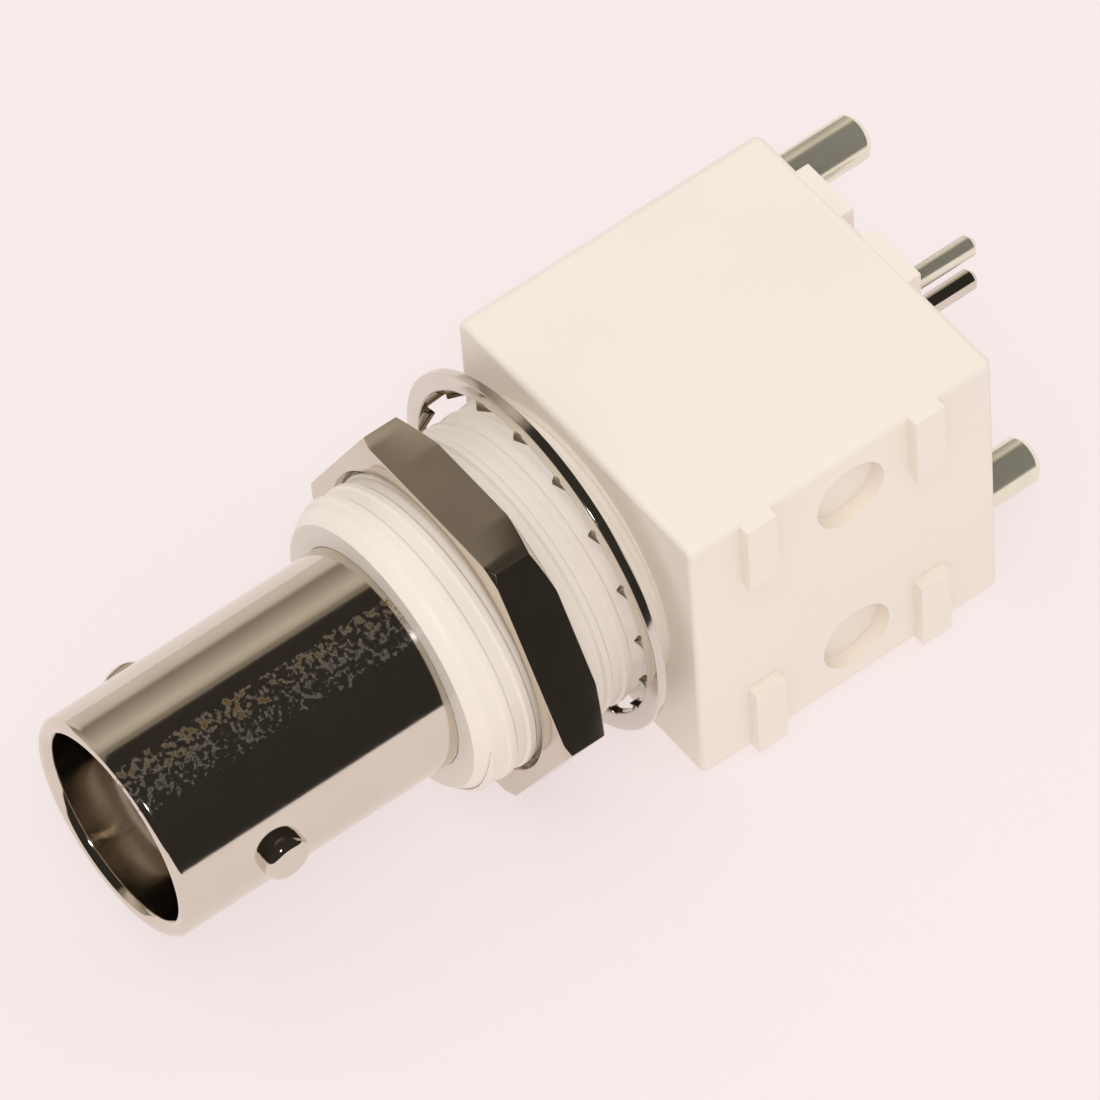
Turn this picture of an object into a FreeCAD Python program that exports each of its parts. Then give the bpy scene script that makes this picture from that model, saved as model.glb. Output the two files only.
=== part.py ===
import FreeCAD, Part
import os
import Sketcher

# A straight, insulated BNC socket for a circuit board, lying on its side.
# Every body is drawn in one local frame: the origin is the centre of the mouth, +Y runs
# along the connector axis towards the board, +X is the side with the spare feet, +Z is up.
# Each body is then moved back by BOARD, so the finished origin is the point where the
# connector axis meets the board.

# All sizes in mm. One row is a name and its value.
SIZES = (
    # Outer conductor with its bayonet lugs
    ("barrel_diameter", 9.6),
    ("barrel_reach", 12.7),
    ("mouth_wall", 0.75),
    ("mouth_depth", 8.4),
    ("mouth_lead", 0.25),
    ("shoulder_step", 0.75),
    ("shoulder_length", 2.0),
    ("rear_wall", 0.85),
    ("flange_lip", 0.8),
    ("flange_thickness", 1.6),
    ("flange_flat_depth", 0.4),
    ("lug_diameter", 2.0),
    ("lug_stand", 0.7),
    ("lug_station", 4.4),
    ("lug_chamfer", 0.3),
    # Insulators and centre contact
    ("insulator_recess", 3.4),
    ("insulator_space", 1.6),
    ("insulator_seat", 5.6),
    ("contact_recess", 0.25),
    ("contact_diameter", 2.2),
    ("contact_wall", 0.415),
    ("contact_bore_depth", 6.0),
    ("contact_slot", 0.25),
    ("contact_slot_length", 4.2),
    ("contact_lead", 0.15),
    ("collar_step", 0.5),
    ("collar_length", 0.8),
    ("tail_diameter", 0.9),
    ("tail_reach", 4.8),
    ("tail_chamfer", 0.2),
    # Earth strap behind the flange
    ("strap_thickness", 0.4),
    ("strap_width", 2.6),
    ("strap_tab_width", 1.3),
    ("earth_pin_height", 2.1),
    # Moulded housing
    ("bushing_wall", 1.53),
    ("bushing_length", 8.9),
    ("bushing_lead", 0.7),
    ("block_wall_left", 0.4),
    ("block_wall_right", 1.9),
    ("block_wall_level", 1.0),
    ("block_depth", 14.4),
    ("left_round", 0.6),
    ("right_round", 0.35),
    ("face_round", 0.3),
    ("post_wall", 0.414),
    # Feet on the board face
    ("foot_height", 0.5),
    ("foot_width", 2.8),
    ("foot_rise", 1.3),
    ("foot_inset", 0.05),
    ("foot_left", -2.5),
    ("foot_right", 1.6),
    # Spare feet and blind recesses on the +X side
    ("pad_front", 3.0),
    ("pad_rear", 11.0),
    ("pad_width", 1.4),
    ("pad_rise", 3.7),
    ("pad_stand", 0.5),
    ("pad_inset", 0.1),
    ("dimple_station", 7.5),
    ("dimple_level", 4.5),
    ("dimple_diameter", 3.2),
    ("dimple_depth", 0.7),
    # Closing plug
    ("cover_thickness", 4.4),
    ("cover_chamfer", 0.3),
    # Mounting posts
    ("post_diameter", 2.0),
    ("post_reach", 3.4),
    ("post_embed", 7.0),
    ("post_chamfer", 0.3),
    # Panel nut
    ("nut_wall", 0.75),
    ("nut_thickness", 2.2),
    ("nut_standoff", 4.1),
    ("nut_front_land", 0.8),
    ("nut_rear_land", 0.25),
    # Internal-tooth lock washer
    ("tooth_length", 0.28),
    ("washer_thickness", 0.4),
    ("washer_standoff", 1.35),
    ("washer_lift", 0.45),
    ("washer_rim", 0.8),
    ("tooth_count", 18),
    ("tooth_width", 1.1),
    ("tooth_twist", 15),
    ("tooth_thickness", 0.34),
    ("tooth_sink", 0.2),
    # Clearances
    ("fit_gap", 0.02),
    ("thread_gap", 0.05),
    ("cavity_gap", 0.15),
)

doc = FreeCAD.newDocument("bnc_pcb_socket")
sheet = doc.addObject("Spreadsheet::Sheet", "Sizes")
for row, (alias, number) in enumerate(SIZES, start=1):
    sheet.set(f"A{row}", alias)
    sheet.set(f"B{row}", str(number))
    sheet.setAlias(f"B{row}", alias)
doc.recompute()


# Expressions that tie one piece to another
def cell(alias):
    return f"Sizes.{alias}"


def half(size):
    """Half a size, given as an alias or as a bracketed expression."""
    return f"{size} / 2" if size.startswith("(") else f"Sizes.{size} / 2"


MOUTH_BORE = "(Sizes.barrel_diameter - 2 * Sizes.mouth_wall)"
SHOULDER_BORE = f"({MOUTH_BORE} - 2 * Sizes.shoulder_step)"
REAR_BORE = "(Sizes.barrel_diameter - 2 * Sizes.rear_wall)"
FLANGE_DIAMETER = "(Sizes.barrel_diameter + 2 * Sizes.flange_lip)"
FLANGE_FLATS = f"({FLANGE_DIAMETER} - 2 * Sizes.flange_flat_depth)"
LUG_SPAN = "(Sizes.barrel_diameter + 2 * Sizes.lug_stand)"
NOSE_DIAMETER = f"({MOUTH_BORE} - 2 * Sizes.insulator_space)"
CONTACT_BORE = "(Sizes.contact_diameter - 2 * Sizes.contact_wall)"
COLLAR_DIAMETER = "(Sizes.contact_diameter + 2 * Sizes.collar_step)"
STRAP_BORE = f"({FLANGE_DIAMETER} - 2 * Sizes.strap_width)"
BUSHING_DIAMETER = "(Sizes.barrel_diameter + 2 * Sizes.fit_gap + 2 * Sizes.bushing_wall)"
CAVITY_DIAMETER = f"({FLANGE_DIAMETER} + 2 * Sizes.cavity_gap)"
BLOCK_FRONT = "(Sizes.barrel_reach + Sizes.bushing_length)"
BLOCK_REAR = f"({BLOCK_FRONT} + Sizes.block_depth)"
BOARD = f"({BLOCK_REAR} + Sizes.foot_height)"
COVER_FRONT = f"({BLOCK_REAR} - Sizes.cover_thickness)"
FLANGE_REAR = f"({COVER_FRONT} - Sizes.strap_thickness)"
FLANGE_FRONT = f"({FLANGE_REAR} - Sizes.flange_thickness)"
SHOULDER_REAR = "(Sizes.mouth_depth + Sizes.shoulder_length)"
COLLAR_FRONT = f"({SHOULDER_REAR} + Sizes.insulator_seat)"
COLLAR_REAR = f"({COLLAR_FRONT} + Sizes.collar_length)"
CONTACT_FRONT = "(Sizes.insulator_recess + Sizes.contact_recess)"
TAIL_TIP = f"({BOARD} + Sizes.tail_reach)"
POST_TIP = f"({BOARD} + Sizes.post_reach)"
POST_ROOT = f"({BLOCK_REAR} - Sizes.post_embed)"
NUT_REAR = f"({BLOCK_FRONT} - Sizes.nut_standoff)"
NUT_FRONT = f"({NUT_REAR} - Sizes.nut_thickness)"
WASHER_REAR = f"({BLOCK_FRONT} - Sizes.washer_standoff)"
WASHER_MIDDLE = f"({WASHER_REAR} - Sizes.washer_thickness / 2)"
TOOTH_TIP = f"({BUSHING_DIAMETER} / 2 + Sizes.washer_lift + Sizes.fit_gap)"
WASHER_BORE = f"({TOOTH_TIP} + Sizes.tooth_length)"
EARTH_LEVEL = cell("earth_pin_height")
POST_BORE = "(Sizes.post_diameter / 2 + Sizes.fit_gap)"
POST_PLACE = f"(({CAVITY_DIAMETER} / 2 + Sizes.post_wall + {POST_BORE}) * sqrt(0.5))"
BLOCK_TOP = f"({POST_PLACE} + {POST_BORE} + Sizes.block_wall_level)"
BLOCK_RIGHT = f"({POST_PLACE} + {POST_BORE} + Sizes.block_wall_right)"
BLOCK_LEFT = f"(-{POST_PLACE} - {POST_BORE} - Sizes.block_wall_left)"
TAIL_BORE = "(Sizes.tail_diameter / 2 + Sizes.fit_gap)"


def number(expression):
    """The present value of an expression, as a plain number."""
    return float(sheet.evalExpression(expression))


# Sketches
def origin_feature(body, role):
    for feature in body.Origin.OriginFeatures:
        if feature.Role == role:
            return feature
    raise ValueError(role)


def sketch_on(body, name, role, lift="0"):
    """A sketch on one of the body's own planes, lifted along the plane's normal."""
    sketch = body.newObject("Sketcher::SketchObject", name)
    sketch.AttachmentSupport = [(origin_feature(body, role), "")]
    sketch.MapMode = "FlatFace"
    sketch.setExpression(".AttachmentOffset.Base.z", lift)
    return sketch


def pin_point(sketch, geometry, point, across, along):
    """Fix one point of a sketch at a place given by two expressions."""
    for kind, axis, expression in (("DistanceX", -2, across), ("DistanceY", -1, along)):
        if expression == "0":
            sketch.addConstraint(Sketcher.Constraint("PointOnObject", geometry, point, axis))
            continue
        place = number(expression)
        index = sketch.addConstraint(Sketcher.Constraint(kind, -1, 1, geometry, point, place))
        sketch.setExpression(f"Constraints[{index}]", expression)


def draw_outline(sketch, corners):
    """A closed outline of straight edges through corners given by expressions."""
    points = [FreeCAD.Vector(number(across), number(along), 0) for across, along in corners]
    edges = [
        sketch.addGeometry(Part.LineSegment(points[i - 1], points[i]), False)
        for i in range(len(points))
    ]
    for i, edge in enumerate(edges):
        after = edges[(i + 1) % len(edges)]
        sketch.addConstraint(Sketcher.Constraint("Coincident", edge, 2, after, 1))
        pin_point(sketch, edge, 2, *corners[i])


def draw_box(sketch, left, right, low, high):
    draw_outline(sketch, ((left, low), (right, low), (right, high), (left, high)))


def draw_circle(sketch, radius, across="0", along="0"):
    centre = FreeCAD.Vector(number(across), number(along), 0)
    circle = Part.Circle(centre, FreeCAD.Vector(0, 0, 1), number(radius))
    ring = sketch.addGeometry(circle, False)
    index = sketch.addConstraint(Sketcher.Constraint("Radius", ring, number(radius)))
    sketch.setExpression(f"Constraints[{index}]", radius)
    pin_point(sketch, ring, 3, across, along)


# Features
def new_body(label):
    body = doc.addObject("PartDesign::Body", label)
    body.Label = label
    body.setExpression(".Placement.Base.y", f"-{BOARD}")
    return body


def turned(body, name, corners, cut=False):
    """A profile of (radius, station) corners turned about the connector axis."""
    sketch = sketch_on(body, name + "_profile", "XY_Plane")
    draw_outline(sketch, corners)
    feature = body.newObject("PartDesign::Groove" if cut else "PartDesign::Revolution", name)
    feature.Profile = (sketch, [""])
    feature.ReferenceAxis = (sketch, ["V_Axis"])
    feature.Angle = 360
    doc.recompute()
    return feature


def section(body, name, station):
    """A sketch across the connector axis: X to the right, Z up."""
    return sketch_on(body, name + "_section", "XZ_Plane", f"-{station}")


def pad_back(body, name, sketch, length):
    """Pad a cross-section towards the board."""
    pad = body.newObject("PartDesign::Pad", name)
    pad.Profile = (sketch, [""])
    pad.setExpression("Length", length)
    pad.Reversed = True
    doc.recompute()
    return pad


def pocket_back(body, name, sketch, length):
    """Cut a cross-section towards the board, and make sure that it cuts."""
    before = body.Shape.Volume
    pocket = body.newObject("PartDesign::Pocket", name)
    pocket.Profile = (sketch, [""])
    pocket.setExpression("Length", length)
    doc.recompute()
    if before - body.Shape.Volume < 1e-6:
        raise ValueError(f"{name} cuts nothing")
    return pocket


def edges_where(shape, test):
    """Names of the edges whose middle point passes a test."""
    names = []
    for i, edge in enumerate(shape.Edges, start=1):
        middle = edge.valueAt((edge.FirstParameter + edge.LastParameter) / 2)
        if test(edge, middle):
            names.append(f"Edge{i}")
    return names


def dress(body, name, kind, size_alias, test):
    """A fillet or chamfer on the edges that pass a test."""
    tip = body.Tip
    feature = body.newObject(f"PartDesign::{kind}", name)
    feature.Base = (tip, edges_where(tip.Shape, test))
    feature.setExpression("Radius" if kind == "Fillet" else "Size", cell(size_alias))
    doc.recompute()
    return feature


# Moulded housing: the block and its threaded bushing are one piece
housing = new_body("housing")

block = section(housing, "block", BLOCK_FRONT)
draw_box(block, BLOCK_LEFT, BLOCK_RIGHT, f"-{BLOCK_TOP}", BLOCK_TOP)
pad_back(housing, "block_pad", block, cell("block_depth"))


def left_long_edge(edge, middle):
    return abs(edge.tangentAt(edge.FirstParameter).y) > 0.99 and middle.x < 0


def right_long_edge(edge, middle):
    along = abs(edge.tangentAt(edge.FirstParameter).y) > 0.99
    return along and abs(middle.x - number(BLOCK_RIGHT)) < 1e-4


dress(housing, "left_rounds", "Fillet", "left_round", left_long_edge)
dress(housing, "right_rounds", "Fillet", "right_round", right_long_edge)


def front_or_rear_edge(edge, middle):
    at_front = abs(middle.y - number(BLOCK_FRONT)) < 1e-4
    at_rear = abs(middle.y - number(BLOCK_REAR)) < 1e-4
    return at_front or at_rear


dress(housing, "block_face_rounds", "Fillet", "face_round", front_or_rear_edge)

BUSHING_RADIUS = half(BUSHING_DIAMETER)
turned(housing, "bushing", (
    ("0", cell("barrel_reach")),
    (f"{BUSHING_RADIUS} - Sizes.bushing_lead", cell("barrel_reach")),
    (BUSHING_RADIUS, "Sizes.barrel_reach + Sizes.bushing_lead"),
    (BUSHING_RADIUS, f"{BLOCK_FRONT} + Sizes.face_round"),
    ("0", f"{BLOCK_FRONT} + Sizes.face_round"),
))

# The spare feet stand on the +X side, in two rows against the top and bottom edges
for row_name, side in (("upper", 1), ("lower", -1)):
    for place in ("front", "rear"):
        name = f"pad_{row_name}_{place}"
        middle = f"({BLOCK_FRONT} + Sizes.pad_{place})"
        outer = f"{side} * ({BLOCK_TOP} - Sizes.pad_inset)"
        inner = f"{side} * ({BLOCK_TOP} - Sizes.pad_rise)"
        lift = f"{BLOCK_RIGHT} - 2 * Sizes.pad_stand"
        pad_sketch = sketch_on(housing, name + "_outline", "YZ_Plane", lift)
        draw_box(
            pad_sketch,
            f"{middle} - Sizes.pad_width / 2",
            f"{middle} + Sizes.pad_width / 2",
            inner,
            outer,
        )
        foot = housing.newObject("PartDesign::Pad", name)
        foot.Profile = (pad_sketch, [""])
        foot.setExpression("Length", "3 * Sizes.pad_stand")
        doc.recompute()

# Feet on the board face
for height_name, side in (("top", 1), ("bottom", -1)):
    for place in ("left", "right"):
        name = f"foot_{height_name}_{place}"
        foot_sketch = section(housing, name, f"({BLOCK_REAR} - Sizes.foot_height)")
        draw_box(
            foot_sketch,
            f"Sizes.foot_{place} - Sizes.foot_width / 2",
            f"Sizes.foot_{place} + Sizes.foot_width / 2",
            f"{side} * ({BLOCK_TOP} - Sizes.foot_inset - Sizes.foot_rise)",
            f"{side} * ({BLOCK_TOP} - Sizes.foot_inset)",
        )
        pad_back(housing, name, foot_sketch, "2 * Sizes.foot_height")

# Stepped bore for the barrel, its keyed flange and the closing plug
bore = section(housing, "bore", cell("barrel_reach"))
draw_circle(bore, "Sizes.barrel_diameter / 2 + Sizes.fit_gap")
pocket_back(housing, "barrel_bore", bore, "Sizes.bushing_length + Sizes.block_depth")


def draw_flatted_disc(sketch, gap):
    """A disc with two upright flats, which keep the barrel from turning."""
    radius = f"({half(FLANGE_DIAMETER)} + {gap})"
    flat = f"({half(FLANGE_FLATS)} + {gap})"
    across = number(flat)
    rise = (number(radius) ** 2 - across ** 2) ** 0.5
    corners = [FreeCAD.Vector(x, y, 0) for x, y in (
        (across, -rise), (across, rise), (-across, rise), (-across, -rise)
    )]
    crown = FreeCAD.Vector(0, number(radius), 0)
    right_flat = sketch.addGeometry(Part.LineSegment(corners[0], corners[1]), False)
    top_arc = sketch.addGeometry(Part.Arc(corners[1], crown, corners[2]), False)
    left_flat = sketch.addGeometry(Part.LineSegment(corners[2], corners[3]), False)
    bottom_arc = sketch.addGeometry(Part.Arc(corners[3], -crown, corners[0]), False)
    for line, place in ((right_flat, flat), (left_flat, f"-{flat}")):
        sketch.addConstraint(Sketcher.Constraint("Vertical", line))
        index = sketch.addConstraint(
            Sketcher.Constraint("DistanceX", -1, 1, line, 1, number(place))
        )
        sketch.setExpression(f"Constraints[{index}]", place)
    for arc, start, end in (
        (top_arc, (right_flat, 2), (left_flat, 1)),
        (bottom_arc, (left_flat, 2), (right_flat, 1)),
    ):
        sketch.addConstraint(Sketcher.Constraint("Coincident", arc, 3, -1, 1))
        index = sketch.addConstraint(Sketcher.Constraint("Radius", arc, number(radius)))
        sketch.setExpression(f"Constraints[{index}]", radius)
        sketch.addConstraint(Sketcher.Constraint("Coincident", arc, 1, *start))
        sketch.addConstraint(Sketcher.Constraint("Coincident", arc, 2, *end))


seat = section(housing, "flange_seat", FLANGE_FRONT)
draw_flatted_disc(seat, cell("fit_gap"))
pocket_back(housing, "flange_seat", seat, f"{BLOCK_REAR} - {FLANGE_FRONT}")
cavity = section(housing, "cavity", FLANGE_REAR)
draw_circle(cavity, half(CAVITY_DIAMETER))
pocket_back(housing, "cavity", cavity, f"{BLOCK_REAR} - {FLANGE_REAR}")

# Sockets that hold the two posts, at opposite corners
sockets = section(housing, "post_sockets", POST_ROOT)
draw_circle(sockets, POST_BORE, f"-{POST_PLACE}", POST_PLACE)
draw_circle(sockets, POST_BORE, POST_PLACE, f"-{POST_PLACE}")
pocket_back(housing, "post_sockets", sockets, cell("post_embed"))

# Blind round recesses between the spare feet
dimples = sketch_on(housing, "dimples_outline", "YZ_Plane", BLOCK_RIGHT)
DIMPLE_STATION = f"({BLOCK_FRONT} + Sizes.dimple_station)"
for side in (1, -1):
    draw_circle(dimples, half("dimple_diameter"), DIMPLE_STATION, f"{side} * Sizes.dimple_level")
recess = housing.newObject("PartDesign::Pocket", "dimples")
recess.Profile = (dimples, [""])
recess.setExpression("Length", cell("dimple_depth"))
doc.recompute()

# Turned barrel with a flange at the rear and holes for the two lugs
barrel = new_body("barrel")
BARREL_RADIUS = half("barrel_diameter")
turned(barrel, "tube", (
    (f"{half(MOUTH_BORE)} + Sizes.mouth_lead", "0"),
    (f"{BARREL_RADIUS} - Sizes.mouth_lead", "0"),
    (BARREL_RADIUS, cell("mouth_lead")),
    (BARREL_RADIUS, f"{FLANGE_REAR}"),
    (half(REAR_BORE), f"{FLANGE_REAR}"),
    (half(REAR_BORE), SHOULDER_REAR),
    (half(SHOULDER_BORE), SHOULDER_REAR),
    (half(SHOULDER_BORE), cell("mouth_depth")),
    (half(MOUTH_BORE), cell("mouth_depth")),
    (half(MOUTH_BORE), cell("mouth_lead")),
))
flange = section(barrel, "flange", FLANGE_FRONT)
draw_flatted_disc(flange, "0")
draw_circle(flange, half(REAR_BORE))
pad_back(barrel, "flange", flange, cell("flange_thickness"))
lug_holes = sketch_on(barrel, "lug_holes_outline", "YZ_Plane")
draw_circle(lug_holes, "Sizes.lug_diameter / 2 + Sizes.fit_gap", cell("lug_station"))
drill = barrel.newObject("PartDesign::Pocket", "lug_holes")
drill.Profile = (lug_holes, [""])
drill.Midplane = True
drill.setExpression("Length", "2 * Sizes.barrel_diameter")
doc.recompute()

# Bayonet lugs pressed into the barrel wall
LUG_START = half(MOUTH_BORE)
LUG_LENGTH = f"({half(LUG_SPAN)} - {half(MOUTH_BORE)})"
for label, start in (("lug_right", LUG_START), ("lug_left", f"-{half(LUG_SPAN)}")):
    lug = new_body(label)
    round_outline = sketch_on(lug, label + "_outline", "YZ_Plane", start)
    draw_circle(round_outline, half("lug_diameter"), cell("lug_station"))
    stem = lug.newObject("PartDesign::Pad", label + "_stem")
    stem.Profile = (round_outline, [""])
    stem.setExpression("Length", LUG_LENGTH)
    doc.recompute()
    tip = number(half(LUG_SPAN))

    def at_tip(edge, middle):
        return abs(abs(middle.x) - tip) < 1e-4

    dress(lug, label + "_chamfer", "Chamfer", "lug_chamfer", at_tip)

# Front insulator: a nose inside the mouth, clamped against the barrel's shoulder
front_insulator = new_body("front_insulator")
CONTACT_HOLE = "(Sizes.contact_diameter / 2 + Sizes.fit_gap)"
turned(front_insulator, "insulator", (
    (CONTACT_HOLE, cell("insulator_recess")),
    (f"{half(NOSE_DIAMETER)} - Sizes.mouth_lead", cell("insulator_recess")),
    (half(NOSE_DIAMETER), "Sizes.insulator_recess + Sizes.mouth_lead"),
    (half(NOSE_DIAMETER), cell("mouth_depth")),
    (f"{half(SHOULDER_BORE)} - Sizes.fit_gap", cell("mouth_depth")),
    (f"{half(SHOULDER_BORE)} - Sizes.fit_gap", SHOULDER_REAR),
    (f"{half(REAR_BORE)} - Sizes.fit_gap", SHOULDER_REAR),
    (f"{half(REAR_BORE)} - Sizes.fit_gap", COLLAR_FRONT),
    (CONTACT_HOLE, COLLAR_FRONT),
))

# Rear insulator: holds the contact's collar against the front one
rear_insulator = new_body("rear_insulator")
turned(rear_insulator, "insulator", (
    (f"{half(COLLAR_DIAMETER)} + Sizes.fit_gap", COLLAR_FRONT),
    (f"{half(REAR_BORE)} - Sizes.fit_gap", COLLAR_FRONT),
    (f"{half(REAR_BORE)} - Sizes.fit_gap", FLANGE_REAR),
    (TAIL_BORE, FLANGE_REAR),
    (TAIL_BORE, COLLAR_REAR),
    (f"{half(COLLAR_DIAMETER)} + Sizes.fit_gap", COLLAR_REAR),
))

# Centre contact: a slotted socket in front, a collar, and the solder tail
centre_contact = new_body("centre_contact")
BORE_END = f"({CONTACT_FRONT} + Sizes.contact_bore_depth)"
turned(centre_contact, "contact", (
    (f"{half(CONTACT_BORE)} + Sizes.contact_lead", CONTACT_FRONT),
    (half("contact_diameter"), CONTACT_FRONT),
    (half("contact_diameter"), COLLAR_FRONT),
    (half(COLLAR_DIAMETER), COLLAR_FRONT),
    (half(COLLAR_DIAMETER), COLLAR_REAR),
    (half("tail_diameter"), COLLAR_REAR),
    (half("tail_diameter"), f"{TAIL_TIP} - Sizes.tail_chamfer"),
    ("Sizes.tail_diameter / 2 - Sizes.tail_chamfer", TAIL_TIP),
    ("0", TAIL_TIP),
    ("0", BORE_END),
    (half(CONTACT_BORE), BORE_END),
    (half(CONTACT_BORE), f"{CONTACT_FRONT} + Sizes.contact_lead"),
))
SLOT_EDGE = half("contact_slot")
SLOT_REACH = cell("contact_diameter")
for name, across, along in (
    ("slot_level", SLOT_REACH, SLOT_EDGE),
    ("slot_upright", SLOT_EDGE, SLOT_REACH),
):
    slot = section(centre_contact, name, CONTACT_FRONT)
    draw_box(slot, f"-({across})", across, f"-({along})", along)
    pocket_back(centre_contact, name, slot, cell("contact_slot_length"))

# Earth strap: a ring against the flange, with a tab that carries the earth pin
earth_strap = new_body("earth_strap")
ring = section(earth_strap, "ring", FLANGE_REAR)
draw_circle(ring, half(FLANGE_DIAMETER))
draw_circle(ring, half(STRAP_BORE))
pad_back(earth_strap, "ring", ring, cell("strap_thickness"))
tab = section(earth_strap, "tab", FLANGE_REAR)
draw_box(
    tab,
    f"-{half('strap_tab_width')}",
    half("strap_tab_width"),
    f"{EARTH_LEVEL} - Sizes.tail_diameter / 2",
    f"({STRAP_BORE} + {FLANGE_DIAMETER}) / 4",
)
pad_back(earth_strap, "tab", tab, cell("strap_thickness"))
pin = section(earth_strap, "pin", FLANGE_REAR)
draw_circle(pin, half("tail_diameter"), "0", EARTH_LEVEL)
pad_back(earth_strap, "pin", pin, f"{TAIL_TIP} - {FLANGE_REAR}")


def at_pin_tip(edge, middle):
    return abs(middle.y - number(TAIL_TIP)) < 1e-4 and edge.Closed


dress(earth_strap, "pin_tip", "Chamfer", "tail_chamfer", at_pin_tip)

# Closing plug, with a hole for each pin
back_cover = new_body("back_cover")
COVER_RADIUS = f"({half(CAVITY_DIAMETER)} - Sizes.fit_gap)"
turned(back_cover, "plug", (
    ("0", COVER_FRONT),
    (f"{COVER_RADIUS} - Sizes.cover_chamfer", COVER_FRONT),
    (COVER_RADIUS, f"{COVER_FRONT} + Sizes.cover_chamfer"),
    (COVER_RADIUS, BLOCK_REAR),
    ("0", BLOCK_REAR),
))
pin_holes = section(back_cover, "pin_holes", COVER_FRONT)
draw_circle(pin_holes, TAIL_BORE)
draw_circle(pin_holes, TAIL_BORE, "0", EARTH_LEVEL)
pocket_back(back_cover, "pin_holes", pin_holes, cell("cover_thickness"))

# Two solid posts that hold the block on the board
for label, side in (("upper_post", -1), ("lower_post", 1)):
    post = new_body(label)
    round_bar = section(post, label + "_round", POST_ROOT)
    draw_circle(round_bar, half("post_diameter"), f"{side} * {POST_PLACE}", f"{-side} * {POST_PLACE}")
    pad_back(post, label + "_bar", round_bar, f"{POST_TIP} - {POST_ROOT}")

    def at_either_end(edge, middle):
        at_root = abs(middle.y - number(POST_ROOT)) < 1e-4
        at_end = abs(middle.y - number(POST_TIP)) < 1e-4
        return (at_root or at_end) and edge.Closed

    dress(post, label + "_chamfers", "Chamfer", "post_chamfer", at_either_end)

# Thin panel nut, one corner towards +X, both faces chamfered to a circle
hex_nut = new_body("hex_nut")
NUT_FLAT = f"({half(BUSHING_DIAMETER)} + Sizes.thread_gap + Sizes.nut_wall)"
NUT_CORNER = f"({NUT_FLAT} / cos(30))"
hexagon = section(hex_nut, "hexagon", NUT_FRONT)
draw_outline(hexagon, (
    (NUT_CORNER, "0"),
    (f"{NUT_CORNER} / 2", NUT_FLAT),
    (f"-{NUT_CORNER} / 2", NUT_FLAT),
    (f"-{NUT_CORNER}", "0"),
    (f"-{NUT_CORNER} / 2", f"-{NUT_FLAT}"),
    (f"{NUT_CORNER} / 2", f"-{NUT_FLAT}"),
))
pad_back(hex_nut, "hexagon", hexagon, cell("nut_thickness"))
FRONT_START = f"({NUT_FLAT} + Sizes.nut_front_land)"
REAR_START = f"({NUT_FLAT} + Sizes.nut_rear_land)"
CHAMFER_OUT = f"({NUT_CORNER} + 1)"
for name, face, inward, start in (
    ("front_chamfer", NUT_FRONT, "+", FRONT_START),
    ("rear_chamfer", NUT_REAR, "-", REAR_START),
):
    drop = f"(({CHAMFER_OUT} - {start}) * tan(30))"
    turned(hex_nut, name, (
        (start, face),
        (CHAMFER_OUT, face),
        (CHAMFER_OUT, f"{face} {inward} {drop}"),
    ), cut=True)
thread = section(hex_nut, "thread", NUT_FRONT)
draw_circle(thread, f"{half(BUSHING_DIAMETER)} + Sizes.thread_gap")
pocket_back(hex_nut, "thread", thread, cell("nut_thickness"))

# Lock washer: a flat rim and a ring of twisted teeth that point inwards
lock_washer = new_body("lock_washer")
lock_washer.setExpression(".Placement.Base.z", cell("washer_lift"))
rim = section(lock_washer, "rim", f"({WASHER_REAR} - Sizes.washer_thickness)")
draw_circle(rim, f"{WASHER_BORE} + Sizes.washer_rim")
draw_circle(rim, WASHER_BORE)
pad_back(lock_washer, "rim", rim, cell("washer_thickness"))


# One tooth is a flat bar, turned by its twist about the radial line
tooth_end = sketch_on(lock_washer, "tooth_end", "XY_Plane", TOOTH_TIP)
TWIST = cell("tooth_twist")
corners = []
for across, along in ((-1, -1), (1, -1), (1, 1), (-1, 1)):
    wide = f"({across} * Sizes.tooth_width / 2)"
    thick = f"({along} * Sizes.tooth_thickness / 2)"
    corners.append((
        f"{wide} * cos({TWIST}) - {thick} * sin({TWIST})",
        f"{WASHER_MIDDLE} + {wide} * sin({TWIST}) + {thick} * cos({TWIST})",
    ))
draw_outline(tooth_end, corners)
tooth = lock_washer.newObject("PartDesign::Pad", "tooth")
tooth.Profile = (tooth_end, [""])
tooth.setExpression("Length", f"{WASHER_BORE} + Sizes.tooth_sink - {TOOTH_TIP}")
doc.recompute()
teeth = lock_washer.newObject("PartDesign::PolarPattern", "teeth")
teeth.Originals = [tooth]
teeth.Axis = (origin_feature(lock_washer, "Y_Axis"), [""])
teeth.Angle = 360
teeth.setExpression("Occurrences", cell("tooth_count"))
lock_washer.Tip = teeth
doc.recompute()


# Check every object, then write each body as one file
bodies = [item for item in doc.Objects if item.TypeId == "PartDesign::Body"]
for item in doc.Objects:
    if "Invalid" in item.State or "Error" in item.State:
        raise ValueError(f"{item.Name} failed: {item.State}")
for body in bodies:
    if body.Shape.isNull() or not body.Shape.isValid():
        raise ValueError(f"{body.Label} has no valid shape")
    if len(body.Shape.Solids) != 1:
        raise ValueError(f"{body.Label} has {len(body.Shape.Solids)} solids")

os.makedirs("parts", exist_ok=True)
for body in bodies:
    body.Shape.exportStep(f"parts/{body.Label}.step")
    box = body.Shape.BoundBox
    print(
        f"{body.Label}: {body.Shape.Volume:.1f} mm3, "
        f"X {box.XMin:.2f} to {box.XMax:.2f}, Y {box.YMin:.2f} to {box.YMax:.2f}, "
        f"Z {box.ZMin:.2f} to {box.ZMax:.2f}"
    )
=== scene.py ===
import math
import bmesh
import bpy
from mathutils import Matrix, Vector


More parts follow.
